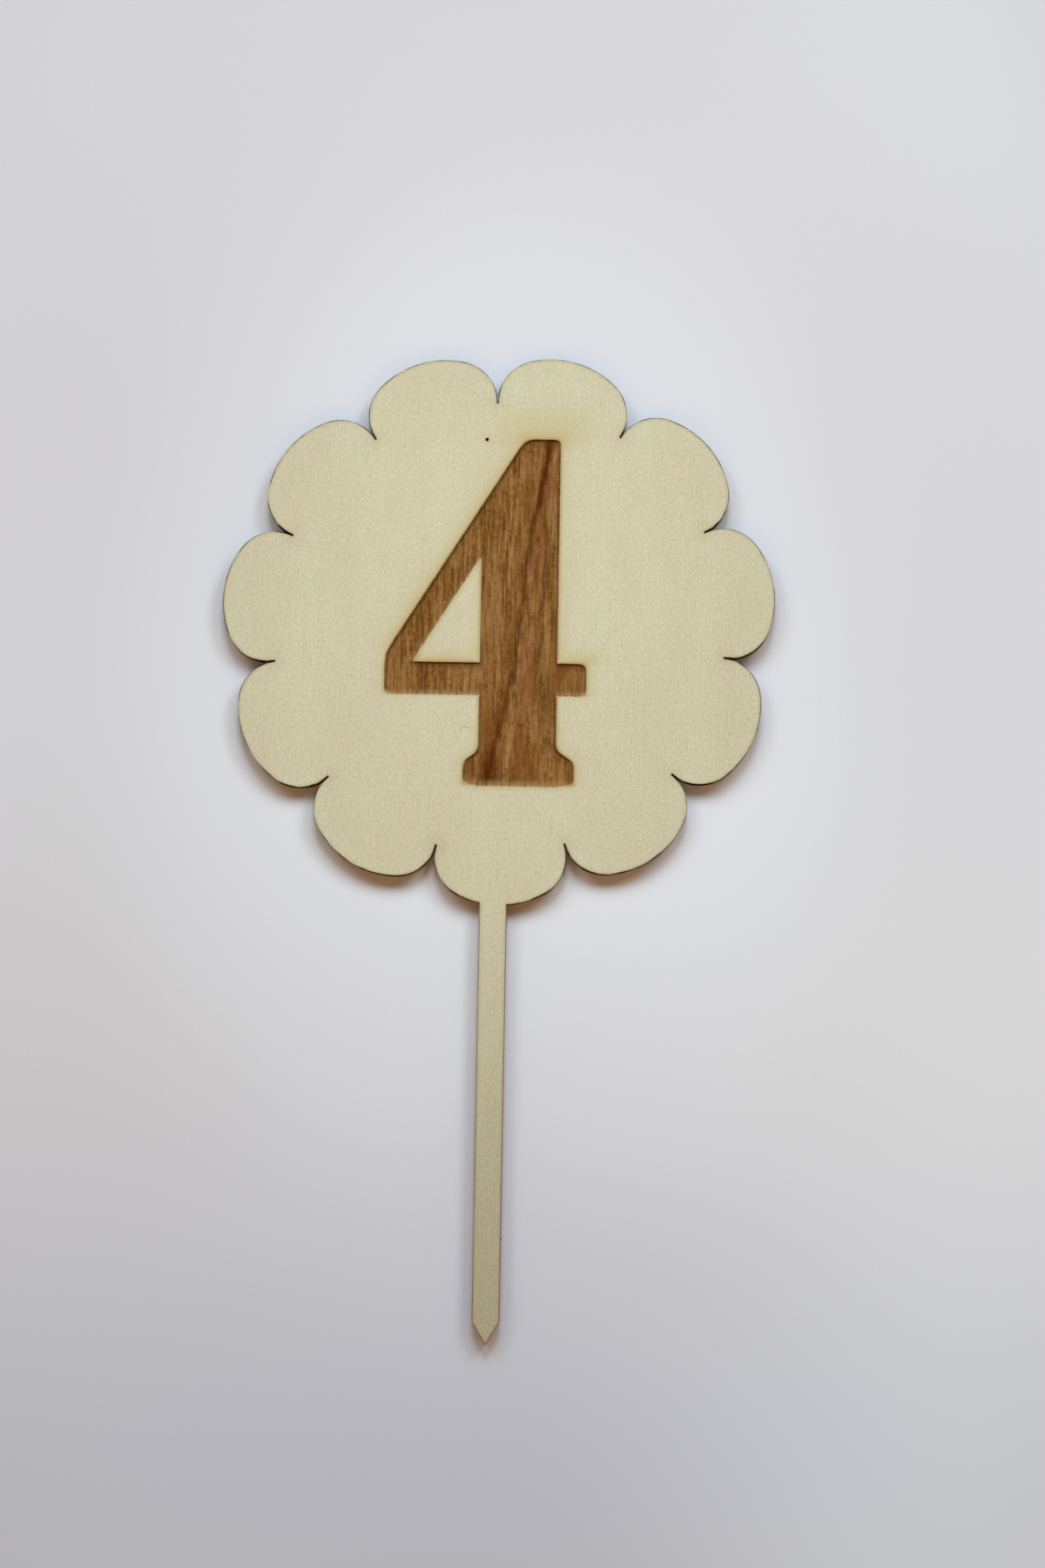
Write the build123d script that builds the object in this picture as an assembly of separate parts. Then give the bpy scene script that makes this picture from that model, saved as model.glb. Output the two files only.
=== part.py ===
from build123d import *
import os
from math import asin, cos, degrees, pi, radians, sin, sqrt, tan

# Cake topper of laser-cut three-ply wood: a scalloped disc on a flat pointed pick, with an engraved 4.
# Millimetres, +Z up, and the numeral faces -Y.
# The origin is where the pick leaves the disc, on the pick's axis and halfway through the sheet.

# The sheet: two face veneers glued to a cross-grained core
FACE_PLY = 0.7
GLUE_LINE = 0.1
CORE_PLY = 1.4

# The scalloped disc
LOBE_COUNT = 11
OUTER_RADIUS = 50.0  # to the crown of each lobe
LOBE_DEPTH = 9.15  # from a crown down to the end of a notch
CROWN_HALF_ANGLE = 28.8  # degrees of the crown's arc, to each side of the lobe's middle
KERF = 0.25  # width of the beam's cut, which is all that parts two lobes at a notch's end
DISC_TURN = 1.33  # degrees that the disc is turned on its pick, anticlockwise from the front
DISC_SHIFT = 0.2  # disc's centre to the right of the pick's axis

# The pick
PICK_WIDTH = 4.9
PICK_LENGTH = 78.0  # from the crown circle down to the tip
TIP_LENGTH = 3.9
TIP_BLUNT = 0.3  # width left at the very tip

# The numeral: a slab-serif 4, measured from the underside of its foot and the middle of its stem
ENGRAVING_DEPTH = 0.4
FOOT_DROP = 28.6  # underside of the foot below the disc's centre
STEM_SHIFT = 3.6  # middle of the stem to the right of the disc's centre
NUMERAL_HEIGHT = 62.8
STEM_WIDTH = 13.9
TOP_WIDTH = 6.2  # flat top of the stem, before its corners are rounded
LIMB_THICKNESS = 5.0  # sloping limb, square to its slope
BAR_RISE = 16.3  # underside of the bar above the underside of the foot
BAR_THICKNESS = 5.9
BAR_LEFT = 17.1  # reach of the bar to the left of the stem
BAR_RIGHT = 5.25  # reach of the bar to the right of the stem
HEEL_HEIGHT = 7.0  # upright left end of the bar, under the sloping limb
FOOT_HEIGHT = 4.4  # upright ends of the foot, before their corners are rounded
FOOT_SLOPE = 33.0  # degrees that the foot's top climbs towards the stem
FOOT_LEFT = 2.7  # reach of the foot to the left of the stem
FOOT_RIGHT = 3.3  # reach of the foot to the right of the stem
BRACKET_ROUND = 1.6  # hollow corner where the foot's top meets the stem
SHOULDER_ROUND = 1.6  # round corner where it meets the foot's end
TOP_LEFT_ROUND = 3.0
TOP_RIGHT_ROUND = 0.9
BAR_TOP_ROUND = 1.3
BAR_BOTTOM_ROUND = 0.6
HEEL_TOP_ROUND = 1.2
HEEL_BOTTOM_ROUND = 0.8
FOOT_ROUND = 0.6

# The small burn that the beam left beside the numeral's top, as deep as the engraving
BURN_WIDTH = 0.55
BURN_SHIFT = 2.75  # to the left of the disc's centre
BURN_RISE = 34.05  # above the disc's centre


def lobe_edges():
    """One lobe with the notch at its right, drawn about the disc's centre with the lobe's middle along +Y.

    Two shoulder arcs leave the notches along the disc's radii, and the crown's arc joins them smoothly.
    """
    half_step = pi / LOBE_COUNT
    step_sin = sin(half_step)
    step_cos = cos(half_step)
    notch_radius = OUTER_RADIUS - LOBE_DEPTH
    half_span = notch_radius * step_sin
    base = notch_radius * step_cos
    rise = OUTER_RADIUS - base

    # Smooth joints between the three arcs settle both radii
    crown_angle = radians(CROWN_HALF_ANGLE)
    lean = tan(crown_angle / 2)
    shoulder = (rise - half_span * lean) / (1 + step_sin - lean * step_cos)
    inset = half_span - shoulder * step_cos
    crown = rise - shoulder * step_sin + inset / tan(crown_angle)
    shoulder_level = base + shoulder * step_sin

    # The shoulders stop where they come within half a cut of the radius
    half_kerf = KERF / 2
    slot_length = sqrt(2 * shoulder * half_kerf - half_kerf**2)
    slot_angle = degrees(asin(slot_length / shoulder))
    shoulder_sweep = 90 - CROWN_HALF_ANGLE + degrees(half_step) - slot_angle

    radius_line = Vector(step_sin, step_cos)
    across = Vector(-step_cos, step_sin)

    def at_notch(out, aside):
        return radius_line * (notch_radius + out) + across * aside

    slot_side = Line(at_notch(half_kerf, half_kerf), at_notch(slot_length, half_kerf))
    slot_end = ThreePointArc(at_notch(half_kerf, -half_kerf), at_notch(0, 0), at_notch(half_kerf, half_kerf))
    right_shoulder = CenterArc(
        (inset, shoulder_level), shoulder, slot_angle - degrees(half_step), shoulder_sweep
    )
    crown_arc = CenterArc((0, OUTER_RADIUS - crown), crown, 90 - CROWN_HALF_ANGLE, 2 * CROWN_HALF_ANGLE)
    mirrored = [mirror(edge, Plane.YZ) for edge in (right_shoulder, slot_side)]
    print(f"lobe arcs: crown radius {crown:.2f}, shoulder radius {shoulder:.2f}, slot {slot_length:.2f} long")
    return [slot_end, slot_side, right_shoulder, crown_arc, *mirrored]


def topper_outline():
    """Disc and pick as one flat face, with the sheet's width along X and its height along Y."""
    lobe = lobe_edges()
    first_lobe = DISC_TURN + 180 / LOBE_COUNT
    turns = PolarLocations(0, LOBE_COUNT, start_angle=first_lobe)
    disc = make_face([turn * edge for turn in turns for edge in lobe])

    half_width = PICK_WIDTH / 2
    half_tip = TIP_BLUNT / 2
    shoulder_level = TIP_LENGTH - PICK_LENGTH
    right_side = [
        (half_width, LOBE_DEPTH),
        (half_width, shoulder_level),
        (half_tip, -PICK_LENGTH),
    ]
    left_side = [(-x, y) for x, y in reversed(right_side)]
    pick = make_face(Polyline(*right_side, *left_side, close=True))
    return Pos(DISC_SHIFT, OUTER_RADIUS) * disc + pick


def numeral_face():
    """The 4 as a flat face, with the middle of its stem at x = 0 and the underside of its foot at y = 0."""
    stem_right = STEM_WIDTH / 2
    stem_left = -stem_right
    bar_top = BAR_RISE + BAR_THICKNESS
    bar_end = stem_right + BAR_RIGHT
    heel = stem_left - BAR_LEFT
    foot_right = stem_right + FOOT_RIGHT
    foot_left = stem_left - FOOT_LEFT
    climb = tan(radians(FOOT_SLOPE))
    bracket_right = FOOT_HEIGHT + FOOT_RIGHT * climb
    bracket_left = FOOT_HEIGHT + FOOT_LEFT * climb
    limb_top = Vector(stem_right - TOP_WIDTH, NUMERAL_HEIGHT)
    limb_foot = Vector(heel, BAR_RISE + HEEL_HEIGHT)
    sharp = 0

    # Each corner of the outline with the radius that rounds it, clockwise from the top
    corners = [
        (limb_top, TOP_LEFT_ROUND),
        ((stem_right, NUMERAL_HEIGHT), TOP_RIGHT_ROUND),
        ((stem_right, bar_top), sharp),
        ((bar_end, bar_top), BAR_TOP_ROUND),
        ((bar_end, BAR_RISE), BAR_BOTTOM_ROUND),
        ((stem_right, BAR_RISE), sharp),
        ((stem_right, bracket_right), BRACKET_ROUND),
        ((foot_right, FOOT_HEIGHT), SHOULDER_ROUND),
        ((foot_right, 0), FOOT_ROUND),
        ((foot_left, 0), FOOT_ROUND),
        ((foot_left, FOOT_HEIGHT), SHOULDER_ROUND),
        ((stem_left, bracket_left), BRACKET_ROUND),
        ((stem_left, BAR_RISE), sharp),
        ((heel, BAR_RISE), HEEL_BOTTOM_ROUND),
        (limb_foot, HEEL_TOP_ROUND),
    ]
    points = [point for point, _ in corners]
    rounds = [round_radius for _, round_radius in corners]
    outline = make_face(FilletPolyline(*points, radius=rounds, close=True))

    # The counter lies inside the limb, above the bar and left of the stem
    slope = (limb_top - limb_foot).normalized()
    inner_start = limb_foot + Vector(slope.Y, -slope.X) * LIMB_THICKNESS
    peak = inner_start.Y + (stem_left - inner_start.X) * slope.Y / slope.X
    toe = inner_start.X + (bar_top - inner_start.Y) * slope.X / slope.Y
    counter = make_face(Polyline((stem_left, peak), (stem_left, bar_top), (toe, bar_top), close=True))
    return outline - counter


def sheet(outline, start, thickness):
    """A layer of the sheet, from its distance in front of mid-thickness forwards."""
    return extrude(Plane.XZ.offset(start) * outline, thickness)


def engraving(front):
    """What the beam burned out of the front face: the numeral, and the small burn beside it."""
    numeral = Pos(DISC_SHIFT + STEM_SHIFT, OUTER_RADIUS - FOOT_DROP) * numeral_face()
    burn = Pos(DISC_SHIFT - BURN_SHIFT, OUTER_RADIUS + BURN_RISE) * Circle(BURN_WIDTH / 2)
    return sheet(numeral + burn, front - ENGRAVING_DEPTH, ENGRAVING_DEPTH)


# The layers, from the back of the sheet to its front
layers = {
    "back_face_ply": FACE_PLY,
    "back_glue_line": GLUE_LINE,
    "core_ply": CORE_PLY,
    "front_glue_line": GLUE_LINE,
    "front_face_ply": FACE_PLY,
}
front_face = sum(layers.values()) / 2
outline = topper_outline()
pieces = {}
level = -front_face
for name, thickness in layers.items():
    pieces[name] = sheet(outline, level, thickness)
    level += thickness
pieces["front_face_ply"] -= engraving(front_face)

os.makedirs("parts", exist_ok=True)
for name, piece in pieces.items():
    export_step(piece, f"parts/{name}.step")
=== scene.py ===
# %% [markdown]
# # A cake topper of laser-cut plywood
# The topper is one flat cut-out of three-ply wood: a scalloped disc on a pointed pick, with a numeral 4
# burned into its front. The solids already have its shape, the engraved recess included, so they are loaded
# as a fixed frame and stay as they are. What Blender adds is the wood itself, the laser's marks on it, a few
# loose fibres, the light and the camera.

# %% Load the solids
from math import atan2, cos, degrees, pi, radians, sin, tan
from types import SimpleNamespace

import bmesh
import bpy
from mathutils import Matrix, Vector


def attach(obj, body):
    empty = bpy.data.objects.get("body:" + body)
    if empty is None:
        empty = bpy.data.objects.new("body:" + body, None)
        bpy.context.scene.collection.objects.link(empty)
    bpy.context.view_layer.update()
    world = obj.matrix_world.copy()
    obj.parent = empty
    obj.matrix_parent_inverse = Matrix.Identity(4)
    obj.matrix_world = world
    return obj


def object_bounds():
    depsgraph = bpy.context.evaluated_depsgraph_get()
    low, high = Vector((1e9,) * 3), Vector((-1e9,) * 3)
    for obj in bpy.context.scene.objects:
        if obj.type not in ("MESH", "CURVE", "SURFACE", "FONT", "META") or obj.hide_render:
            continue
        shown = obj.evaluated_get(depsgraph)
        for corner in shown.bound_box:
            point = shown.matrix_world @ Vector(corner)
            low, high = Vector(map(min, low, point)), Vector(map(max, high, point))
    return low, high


MM = 0.001
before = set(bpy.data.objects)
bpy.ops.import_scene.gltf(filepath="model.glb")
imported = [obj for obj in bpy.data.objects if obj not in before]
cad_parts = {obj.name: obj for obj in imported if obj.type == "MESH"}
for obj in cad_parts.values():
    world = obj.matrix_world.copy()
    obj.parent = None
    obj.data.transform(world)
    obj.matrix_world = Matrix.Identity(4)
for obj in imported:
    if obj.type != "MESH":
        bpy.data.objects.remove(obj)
cad_box = [list(corner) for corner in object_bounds()]
print("solids:", ", ".join(sorted(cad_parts)))
print("box in mm:", [[round(value / MM, 2) for value in corner] for corner in cad_box])

# %% [markdown]
# ## The camera
# The photograph looks down on the topper as it lies on a table. In the solids' frame the topper stands
# upright, with its pick along Z, so the camera stands in front of it, a little below its middle, and looks
# slightly up. A long lens keeps the perspective as flat as the photograph's. The numbers were found by
# matching the outline to the picture.

# %% Set up the camera
CAMERA_PLACE = (11.22, -779.11, -43.23)  # mm
CAMERA_TURN = (94.782, -1.004, 0.381)  # degrees about X, Y and Z
LENS = 100  # mm, with Blender's 36 mm sensor along the picture's height
NEAREST = 0.01  # m
FARTHEST = 10  # m

camera = bpy.data.objects.new("camera", bpy.data.cameras.new("camera"))
camera.location = [value * MM for value in CAMERA_PLACE]
camera.rotation_euler = [radians(angle) for angle in CAMERA_TURN]
camera.data.lens = LENS
camera.data.clip_start = NEAREST
camera.data.clip_end = FARTHEST
bpy.context.scene.collection.objects.link(camera)
bpy.context.scene.camera = camera
bpy.context.scene.view_settings.view_transform = "Standard"
print("camera in metres:", [round(value, 3) for value in camera.location])

# %% [markdown]
# ## A shorthand for shader nodes
# Wood and burn marks are sums of many small patterns. Written with nodes alone they are hard to read, so one
# small class holds an output socket and lets Python's own operators add the Math nodes. Its method `node`
# adds any other node: first the node's settings, then the values or links of its sockets.


# %% The class
class Wire:
    """An output socket of a node tree. Sums written with it add Math nodes to that tree."""

    def __init__(self, tree, socket=None):
        self.tree = tree
        self.socket = socket

    def node(self, kind, settings=None, sockets=None, out=0):
        """Adds a node and returns one of its outputs, if it has any."""
        made = self.tree.nodes.new(kind)
        for name, value in (settings or {}).items():
            setattr(made, name, value)
        for name, value in (sockets or {}).items():
            if isinstance(value, Wire):
                self.tree.links.new(value.socket, made.inputs[name])
            else:
                made.inputs[name].default_value = value
        return Wire(self.tree, made.outputs[out]) if made.outputs else None

    def other(self, out):
        """Another output of the same node."""
        return Wire(self.tree, self.socket.node.outputs[out])

    def math(self, operation, *values):
        return self.node("ShaderNodeMath", {"operation": operation}, dict(enumerate(values)))

    def __add__(self, other):
        return self.math("ADD", self, other)

    def __sub__(self, other):
        return self.math("SUBTRACT", self, other)

    def __rsub__(self, other):
        return self.math("SUBTRACT", other, self)

    def __mul__(self, other):
        return self.math("MULTIPLY", self, other)

    def __neg__(self):
        return self.math("MULTIPLY", self, -1)

    def __abs__(self):
        return self.math("ABSOLUTE", self)

    __radd__ = __add__
    __rmul__ = __mul__


print("operators:", ", ".join(name for name in vars(Wire) if name.startswith("__") and name != "__init__"))


# %% Helpers for values
def fade(value, start, end):
    """Climbs smoothly from 0 where the value is at start to 1 where it is at end."""
    sockets = {"Value": value, "From Min": start, "From Max": end}
    return value.node("ShaderNodeMapRange", {"interpolation_type": "SMOOTHSTEP"}, sockets)


def highest(first, *others, soften=0):
    """The greatest of several values, with the corner between them rounded off by soften."""
    operation = "SMOOTH_MAX" if soften else "MAXIMUM"
    for other in others:
        first = first.math(operation, first, other, soften)
    return first


def lowest(first, *others, soften=0):
    """The least of several values, with the corner between them rounded off by soften."""
    operation = "SMOOTH_MIN" if soften else "MINIMUM"
    for other in others:
        first = first.math(operation, first, other, soften)
    return first


def choose(yes, first, second):
    """The first value where yes is 1, and the second where it is 0."""
    return second + yes * (first - second)


def span(first, second):
    """Length of the line whose two sides these are."""
    return first.math("SQRT", first * first + second * second)


print("helpers:", ", ".join(helper.__name__ for helper in (fade, highest, lowest, choose, span)))


# %% Helpers for patterns
def places(start):
    """Where a point of the surface is, in mm."""
    place = start.node("ShaderNodeTexCoord", out="Object")
    return start.node("ShaderNodeVectorMath", {"operation": "SCALE"}, {0: place, "Scale": 1 / MM})


def grain(place, stretch, detail=2.0, shift=0.0):
    """Noise from 0 to 1. Stretch is features per mm along X, Y and Z: a small number makes a long streak."""
    settings = {"operation": "MULTIPLY_ADD"}
    vector = place.node("ShaderNodeVectorMath", settings, {0: place, 1: stretch, 2: (shift, shift, shift)})
    return place.node("ShaderNodeTexNoise", None, {"Vector": vector, "Scale": 1.0, "Detail": detail})


def wave(phase):
    """A sine from 0 to 1."""
    return 0.5 + 0.5 * phase.math("SINE", phase)


def swing(pattern, amount):
    """A pattern from 0 to 1, moved so that it swings about 0, by half the amount to each side."""
    return (pattern - 0.5) * amount


print("patterns:", ", ".join(helper.__name__ for helper in (places, grain, wave, swing)))


# %% Helpers for colours
def seen(red, green, blue):
    """A colour as read off a screen, from 0 to 255, turned into the linear values that a shader takes."""
    parts = [value / 255 for value in (red, green, blue)]
    linear = [((part + 0.055) / 1.055) ** 2.4 if part > 0.04045 else part / 12.92 for part in parts]
    return (*linear, 1.0)


def blend(amount, first, second):
    """The second colour over the first, by an amount from 0 to 1."""
    settings = {"data_type": "RGBA", "blend_type": "MIX", "clamp_factor": True}
    return amount.node("ShaderNodeMix", settings, {0: amount, 6: first, 7: second}, out=2)


def brighten(colour, amount):
    """A colour times a value."""
    colour = colour if isinstance(colour, Wire) else colour[:3]
    return amount.node("ShaderNodeVectorMath", {"operation": "SCALE"}, {0: colour, "Scale": amount})


print("a middle grey on screen is", round(seen(188, 188, 188)[0], 2), "to a shader")

# %% [markdown]
# ## The table
# The topper lies on a sheet of pale paper, so a plane touches its back. It is only the stage, and no part of
# the topper. Seen from behind, the plane is clear and throws no shade, so that the back can be looked at
# too. Paper in a room is never one even white: under the room's light this sheet is bluer towards the viewer,
# darker towards the top, and brighter far from the topper and to the right. Lamps for that would light the
# wood too, so it is painted light: the paper's colour has painted cool light towards the viewer and painted
# shade towards the top, and a faint glow of its own makes it brighter far out and to the right. The table is
# hidden from diffuse rays, so that its glow lights nothing else.

# %% Lay the table
TABLE_GAP = 0.03  # mm behind the back face
TABLE_HALF = 500  # mm

table_level = cad_box[1][1] + TABLE_GAP * MM
half = TABLE_HALF * MM
table_mesh = bpy.data.meshes.new("table")
table_corners = ((-half, -half), (half, -half), (half, half), (-half, half))
table_mesh.from_pydata([(x, table_level, z) for x, z in table_corners], [], [(0, 1, 2, 3)])
table = bpy.data.objects.new("table", table_mesh)
bpy.context.scene.collection.objects.link(table)
table.visible_shadow = False
table.visible_diffuse = False
print("table", round((table_level - cad_box[1][1]) / MM, 3), "mm behind the topper")

# %% Glow of the paper
PAPER_GLOW = (0.225, 0.275, 0.325, 1.0)
GLOW_MIDDLE = (0, 30)  # X and Z in mm, where the paper has no glow
GLOW_STRETCH = 1.5  # how much sooner the glow sets in to the sides than up and down
GLOW_REACH = (95, 215)  # mm from the middle
NEAR_LOSS = 0.55  # share of the glow that is lost towards the viewer
LOSS_HEIGHTS = (60.0, -110.0)  # mm
FAR_REACH = (200, 420)  # mm from the middle, outside the picture
FAR_GLOW = 0.8
SIDE_GLOW = (0.10, 0.112, 0.112, 1.0)
SIDE_REACH = (0.0, 90.0)  # mm to the right
SIDE_LOSS = 0.75  # share of the right side's glow that is lost upwards
SIDE_HEIGHTS = (50.0, -40.0)  # mm

paper = bpy.data.materials.new("pale_paper")
paper.use_nodes = True
paper.node_tree.nodes.clear()
sheet = Wire(paper.node_tree)
sheet_place = places(sheet)
sheet_x = sheet.node("ShaderNodeSeparateXYZ", None, {0: sheet_place}, out="X")
sheet_z = sheet_x.other("Z")
# The glow is painted light, brighter far from the topper and to the right.
far = span((sheet_x - GLOW_MIDDLE[0]) * GLOW_STRETCH, sheet_z - GLOW_MIDDLE[1])
all_round = fade(far, *GLOW_REACH) * (1 - NEAR_LOSS * fade(sheet_z, *LOSS_HEIGHTS))
all_round = all_round + FAR_GLOW * fade(far, *FAR_REACH)
to_right = fade(sheet_x, *SIDE_REACH) * (1 - SIDE_LOSS + SIDE_LOSS * fade(sheet_z, *SIDE_HEIGHTS))
glows = {0: brighten(PAPER_GLOW, all_round), 1: brighten(SIDE_GLOW, to_right)}
glow = sheet.node("ShaderNodeVectorMath", {"operation": "ADD"}, glows)
print("the glow takes", len(paper.node_tree.nodes), "nodes")

# %% Colour of the paper
FAR_PAPER_PAINTED_SHADE = (0.76, 0.755, 0.775, 1.0)
PAPER = (0.79, 0.80, 0.83, 1.0)
NEAR_PAPER_PAINTED_COOL_LIGHT = (0.72, 0.78, 0.90, 1.0)
FAR_HEIGHTS = (20.0, 90.0)  # mm
NEAR_HEIGHTS = (-20.0, -110.0)  # mm
TOOTH_CONTRAST = 0.04

tooth = grain(sheet_place, (2.0, 2.0, 2.0), detail=3)
# Painted light in the paper's colour: painted shade towards the top, painted cool light towards the viewer.
paper_with_painted_light = blend(fade(sheet_z, *FAR_HEIGHTS), PAPER, FAR_PAPER_PAINTED_SHADE)
paper_with_painted_light = blend(fade(sheet_z, *NEAR_HEIGHTS), paper_with_painted_light, NEAR_PAPER_PAINTED_COOL_LIGHT)
paper_sockets = {
    "Base Color": brighten(paper_with_painted_light, 1 + swing(tooth, TOOTH_CONTRAST)),
    "Specular IOR Level": 0.0,
    "Roughness": 1.0,
    "Emission Color": glow,
    "Emission Strength": 1.0,
}
matte = sheet.node("ShaderNodeBsdfPrincipled", None, paper_sockets)
clear = sheet.node("ShaderNodeBsdfTransparent")
from_behind = sheet.node("ShaderNodeNewGeometry", out="Backfacing")
one_sided = sheet.node("ShaderNodeMixShader", None, {0: from_behind, 1: matte, 2: clear})
sheet.node("ShaderNodeOutputMaterial", None, {"Surface": one_sided})
table_mesh.materials.append(paper)
print("paper has", len(paper.node_tree.nodes), "nodes")

# %% [markdown]
# ## The light
# Three soft windows stand in a row above the topper, the middle one strongest and the left one weakest. One
# window would throw its shadows to one side only, and here they lie below the lobes and to both sides of the
# pick. A lamp behind the table lights the back, which the windows don't reach. The rest is the room's own
# light, dim from above and warm from below, which the world gives. All of it together is at a level at which
# colours come out about as they are written.

# %% Hang the windows
AIM = Vector((0, 0, 0.034))  # m, low on the disc
DAYLIGHT = (0.76, 0.90, 1.0)
WINDOW_SIZE = (0.16, 0.22)  # m
WINDOW_SPREAD = 45  # degrees
WINDOW_ROW = (-0.30, 0.30)  # Y and Z in m
WINDOWS = {  # X in m and power in W
    "right_window": (0.22, 0.076),
    "middle_window": (0.0, 0.096),
    "left_window": (-0.22, 0.050),
}
BACK_LAMP_PLACE = (0.0, 0.60, 0.10)  # m
BACK_LAMP_SIZE = (0.40, 0.40)  # m
BACK_LAMP_POWER = 3.6  # W


def hang_lamp(name, place, size, power, spread=180):
    """An area lamp that looks at the aim. A narrow spread, in degrees, dims its light to all sides."""
    lamp = bpy.data.lights.new(name, "AREA")
    lamp.shape = "RECTANGLE"
    lamp.size, lamp.size_y = size
    lamp.energy = power
    lamp.color = DAYLIGHT
    lamp.spread = radians(spread)
    holder = bpy.data.objects.new(name, lamp)
    holder.location = Vector(place)
    holder.rotation_euler = (AIM - holder.location).to_track_quat("-Z", "Y").to_euler()
    holder.visible_camera = False
    bpy.context.scene.collection.objects.link(holder)
    print(name, "at", [round(value, 2) for value in place], "m with", power, "W")


for name, (x, power) in WINDOWS.items():
    hang_lamp(name, (x, *WINDOW_ROW), WINDOW_SIZE, power, WINDOW_SPREAD)
hang_lamp("back_lamp", BACK_LAMP_PLACE, BACK_LAMP_SIZE, BACK_LAMP_POWER)

# %% Fill the room
ROOM_ABOVE = (0.05, 0.05, 0.05, 1.0)
ROOM_BELOW = (0.52, 0.29, 0.125, 1.0)
ROOM_BLEND = (0.3, -0.3)  # height of a direction of length 1, from the upper colour to the lower one
BACKGROUND = seen(214, 214, 218)

room = bpy.data.worlds.new("room")
room.use_nodes = True
room.node_tree.nodes.clear()
bpy.context.scene.world = room
air = Wire(room.node_tree)
direction = air.node("ShaderNodeTexCoord", out="Generated")
height = air.node("ShaderNodeSeparateXYZ", None, {0: direction}, out="Z")
room_colour = blend(fade(height, *ROOM_BLEND), ROOM_ABOVE, ROOM_BELOW)

# What is looked at directly is a plain background, and only what lights the topper is the room
lit = air.node("ShaderNodeBackground", None, {"Color": room_colour, "Strength": 1.0})
shown = air.node("ShaderNodeBackground", None, {"Color": BACKGROUND, "Strength": 1.0})
ray = air.node("ShaderNodeLightPath", out="Is Camera Ray")
looked_at = highest(ray, ray.other("Is Glossy Ray"), ray.other("Is Transmission Ray"))
both = air.node("ShaderNodeMixShader", None, {0: looked_at, 1: lit, 2: shown})
air.node("ShaderNodeOutputWorld", None, {"Surface": both})
print("room lit by", len(room.node_tree.nodes), "nodes")

# %% [markdown]
# ## Where the laser went
# The beam left marks that follow its path: a charred rim along the cut, and brown scorch round the
# engraving. A pattern that follows a path needs to know how far each point is from it. Instead of painting a
# picture, the distance is worked out in the shader from the same sizes that the solids have, so the marks
# stay sharp at any zoom.

# %% Sizes of the cut, in mm
LOBE_COUNT = 11
OUTER_RADIUS = 50.0
NOTCH_RADIUS = 40.85
CROWN_ANGLE = radians(28.8)
DISC_TURN = 1.33  # degrees
DISC_MIDDLE = (0.2, 50.0)
PICK_HALF = 2.45
TIP_START = -74.1
TIP_END = -78.0
TIP_HALF = 0.15

half_step = pi / LOBE_COUNT
first_lobe = radians(90 + DISC_TURN) + half_step
half_span = NOTCH_RADIUS * sin(half_step)
lobe_base = NOTCH_RADIUS * cos(half_step)
lean = tan(CROWN_ANGLE / 2)
rise = OUTER_RADIUS - lobe_base
shoulder = (rise - half_span * lean) / (1 + sin(half_step) - lean * cos(half_step))
shoulder_side = half_span - shoulder * cos(half_step)
shoulder_out = lobe_base + shoulder * sin(half_step)
crown = rise - shoulder * sin(half_step) + shoulder_side / tan(CROWN_ANGLE)
crown_out = OUTER_RADIUS - crown
print("lobe arcs: crown", round(crown, 2), "and shoulder", round(shoulder, 2), "mm")

# %% Distance from the cut
taper = atan2(PICK_HALF - TIP_HALF, TIP_START - TIP_END)


def from_cut(x, z):
    """How far a point of the sheet is from the cut edge, and from the end of the nearest notch."""
    across = x - DISC_MIDDLE[0]
    up = z - DISC_MIDDLE[1]
    radius = span(across, up)
    turn = x.math("ARCTAN2", up, across) - first_lobe
    folded = abs(turn.math("WRAP", turn, half_step, -half_step))
    side = radius * folded.math("SINE", folded)
    out = radius * folded.math("COSINE", folded)

    # Every lobe is now folded onto half of one lobe
    from_crown = crown - span(side, out - crown_out)
    from_shoulder = shoulder - span(side - shoulder_side, out - shoulder_out)
    bearing = x.math("ARCTAN2", side, out - crown_out)
    from_arc = choose(x.math("LESS_THAN", bearing, CROWN_ANGLE), from_crown, from_shoulder)
    notch = span(side - half_span, out - lobe_base)
    along = side * sin(half_step) + out * cos(half_step)
    from_disc = choose(x.math("LESS_THAN", along, NOTCH_RADIUS), notch, from_arc)

    # The pick is a strip with a taper, and it ends inside the disc
    offset = abs(x)
    from_taper = (PICK_HALF - offset) * cos(taper) + (z - TIP_START) * sin(taper)
    from_pick = lowest(PICK_HALF - offset, from_taper, OUTER_RADIUS - NOTCH_RADIUS - z)
    return SimpleNamespace(edge=highest(from_disc, from_pick), notch=notch)


print("the pick's point tapers by", round(degrees(taper), 1), "degrees to each side")

# %% Sizes of the numeral, in mm from its stem's middle and its foot's underside
NUMERAL_FOOT = (3.8, 21.4)  # X and Z of the point that it is measured from
NUMERAL_HEIGHT = 62.8
STEM_HALF = 6.95
TOP_LEFT = 0.75
LIMB_THICKNESS = 5.0
BAR_LOW = 16.3
BAR_HIGH = 22.2
BAR_END = 12.2
HEEL = -24.05
HEEL_TOP = 23.3
FOOT_LEFT = -9.65
FOOT_RIGHT = 10.25
FOOT_END_HEIGHT = 4.4
FOOT_SLOPE = radians(33)
CORNER = 2.0  # softens the corners

limb_slope = atan2(NUMERAL_HEIGHT - HEEL_TOP, TOP_LEFT - HEEL)
counter_toe = HEEL + (LIMB_THICKNESS - (HEEL_TOP - BAR_HIGH) * cos(limb_slope)) / sin(limb_slope)
print("counter of the 4 starts", round(-STEM_HALF - counter_toe, 1), "mm left of its stem")


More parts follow.
